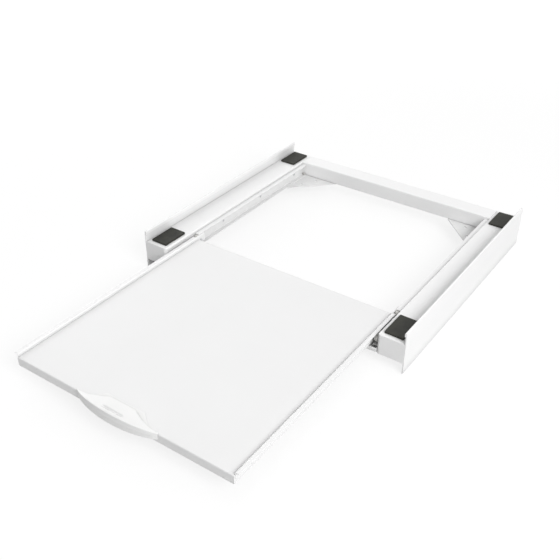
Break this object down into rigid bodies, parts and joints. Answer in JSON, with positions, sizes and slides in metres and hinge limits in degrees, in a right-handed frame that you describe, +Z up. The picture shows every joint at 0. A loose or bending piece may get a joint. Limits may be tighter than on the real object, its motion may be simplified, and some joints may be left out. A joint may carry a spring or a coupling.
{
  "type": "washer dryer stacking kit",
  "caption": "White steel frame that stacks a tumble dryer on a washing machine, with side lips, rubber pads and a pull-out shelf on rollers with a moulded handle",
  "frame": {"origin": "middle of the front crossbar's underside, on the plane that rests on the washing machine", "axes": "+X right, +Y back, +Z up, seen from the front where the shelf pulls out"},
  "size_m": [0.6, 0.961, 0.088],
  "materials": {
    "frame_enamel": "white powder coat, smooth, semi-gloss",
    "shelf_enamel": "white powder coat, smooth, satin",
    "handle_plastic": "white moulded plastic, fine satin",
    "roller_plastic": "natural white nylon",
    "rubber_pad": "matte dark rubber",
    "zinc_fasteners": "bright zinc plate"
  },
  "bodies": {
    "frame": {"left_side_plate": "frame_enamel", "right_side_plate": "frame_enamel", "left_rail": "frame_enamel", "right_rail": "frame_enamel", "left_front_end_plate": "frame_enamel", "right_front_end_plate": "frame_enamel", "left_rear_end_plate": "frame_enamel", "right_rear_end_plate": "frame_enamel", "back_beam": "frame_enamel", "front_crossbar": "frame_enamel", "left_gusset": "frame_enamel", "right_gusset": "frame_enamel", "left_frame_runner": "frame_enamel", "right_frame_runner": "frame_enamel", "runner_stops": "roller_plastic", "front_left_pad": "rubber_pad", "front_right_pad": "rubber_pad", "rear_left_pad": "rubber_pad", "rear_right_pad": "rubber_pad", "front_roller_axles": "zinc_fasteners", "runner_rivets": "zinc_fasteners", "crossbar_screws": "zinc_fasteners", "crossbar_nuts": "zinc_fasteners", "beam_screws": "zinc_fasteners", "beam_nuts": "zinc_fasteners"},
    "shelf": {"shelf_tray": "shelf_enamel", "left_shelf_runner": "shelf_enamel", "right_shelf_runner": "shelf_enamel", "rear_roller_axles": "zinc_fasteners", "shelf_rivets": "zinc_fasteners", "handle": "handle_plastic", "handle_screws": "zinc_fasteners"},
    "left_front_roller": {"left_front_roller": "roller_plastic"},
    "right_front_roller": {"right_front_roller": "roller_plastic"},
    "left_rear_roller": {"left_rear_roller": "roller_plastic"},
    "right_rear_roller": {"right_rear_roller": "roller_plastic"}
  },
  "joints": [
    {"name": "shelf_slide", "type": "slide", "parent": "frame", "child": "shelf", "axis": [0, 1, 0], "range_m": [0, 0.4]},
    {"name": "left_front_roller_turn", "type": "hinge", "parent": "frame", "child": "left_front_roller", "pos_m": [-0.23775, 0, 0.0224], "axis": [1, 0, 0], "continuous": true},
    {"name": "right_front_roller_turn", "type": "hinge", "parent": "frame", "child": "right_front_roller", "pos_m": [0.23775, 0, 0.0224], "axis": [1, 0, 0], "continuous": true},
    {"name": "left_rear_roller_turn", "type": "hinge", "parent": "shelf", "child": "left_rear_roller", "pos_m": [-0.23775, 0.074, 0.0227], "axis": [1, 0, 0], "continuous": true},
    {"name": "right_rear_roller_turn", "type": "hinge", "parent": "shelf", "child": "right_rear_roller", "pos_m": [0.23775, 0.074, 0.0227], "axis": [1, 0, 0], "continuous": true}
  ],
  "couplings": [
    {"joint": "left_front_roller_turn", "follows": "shelf_slide", "rad_per_m": -90.909},
    {"joint": "right_front_roller_turn", "follows": "shelf_slide", "rad_per_m": -90.909},
    {"joint": "left_rear_roller_turn", "follows": "shelf_slide", "rad_per_m": -81.967},
    {"joint": "right_rear_roller_turn", "follows": "shelf_slide", "rad_per_m": -81.967}
  ]
}
